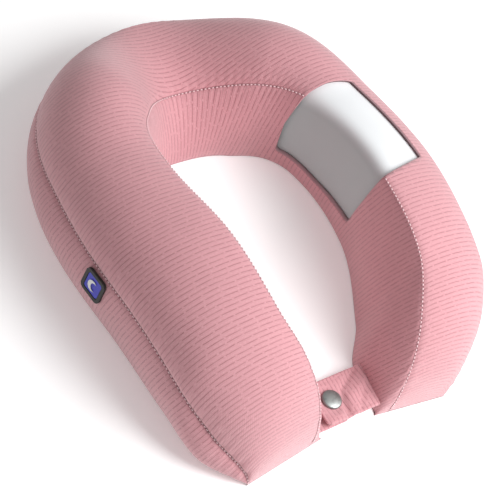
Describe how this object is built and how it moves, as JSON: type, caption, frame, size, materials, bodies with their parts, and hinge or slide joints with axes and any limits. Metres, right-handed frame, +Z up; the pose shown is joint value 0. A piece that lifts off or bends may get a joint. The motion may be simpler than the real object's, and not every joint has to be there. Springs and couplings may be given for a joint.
{
  "type": "u shaped neck pillow",
  "caption": "U-shaped foam neck pillow in a zipped knit cover, with a snap strap across the gap between the arms and a raised rubber patch on one side.",
  "frame": {"origin": "on the surface that the pillow lies on, under the middle of its box", "axes": "+Z up, +Y towards the back of the neck, the arms point along -Y, +X to the wearer's arm with the cut-away window"},
  "size_m": [0.2636, 0.3089, 0.0939],
  "materials": {
    "knit": "ribbed pink knit with a fine dark pinstripe",
    "foam": "smooth pale memory foam",
    "zip_tape": "woven tape",
    "zip_coil": "satin nylon",
    "nickel": "satin nickel plate",
    "black_rubber": "matt moulded rubber",
    "blue_rubber": "matt moulded rubber",
    "white_rubber": "matt moulded rubber"
  },
  "bodies": {
    "root": {"foam_core": "foam", "top_panel": "knit", "inner_wall_panel": "knit", "outer_wall_panel": "knit", "bottom_panel": "knit", "zip_tape_front": "zip_tape", "zip_tape_back": "zip_tape", "zip_coil_front": "zip_coil", "zip_coil_back": "zip_coil", "zip_stop_left": "nickel", "zip_stop_right": "nickel", "patch_base": "black_rubber", "patch_inlay": "blue_rubber", "patch_emblem": "white_rubber"},
    "upper_strap": {"upper_strap_tab": "knit", "snap_cap": "nickel", "snap_socket": "nickel"},
    "lower_strap": {"lower_strap_tab": "knit", "snap_stud": "nickel", "snap_post": "nickel"},
    "slider": {"zip_slider": "nickel"},
    "pull": {"zip_pull_tab": "nickel"}
  },
  "joints": [
    {"name": "upper_strap_fold", "type": "hinge", "parent": "root", "child": "upper_strap", "pos_m": [0.02443, -0.129, 0.0071], "axis": [0.1524, 0.9883, 0], "range_deg": [0, 70]},
    {"name": "lower_strap_fold", "type": "hinge", "parent": "root", "child": "lower_strap", "pos_m": [-0.02443, -0.129, 0.0025], "axis": [-0.1524, 0.9883, 0], "range_deg": [0, 60]},
    {"name": "zip_slide", "type": "slide", "parent": "root", "child": "slider", "axis": [1, 0, 0], "range_m": [0, 0.096]},
    {"name": "pull_tab_swing", "type": "hinge", "parent": "slider", "child": "pull", "pos_m": [-0.052, 0.098, 0.0026], "axis": [0, 1, 0], "range_deg": [0, 150]}
  ]
}
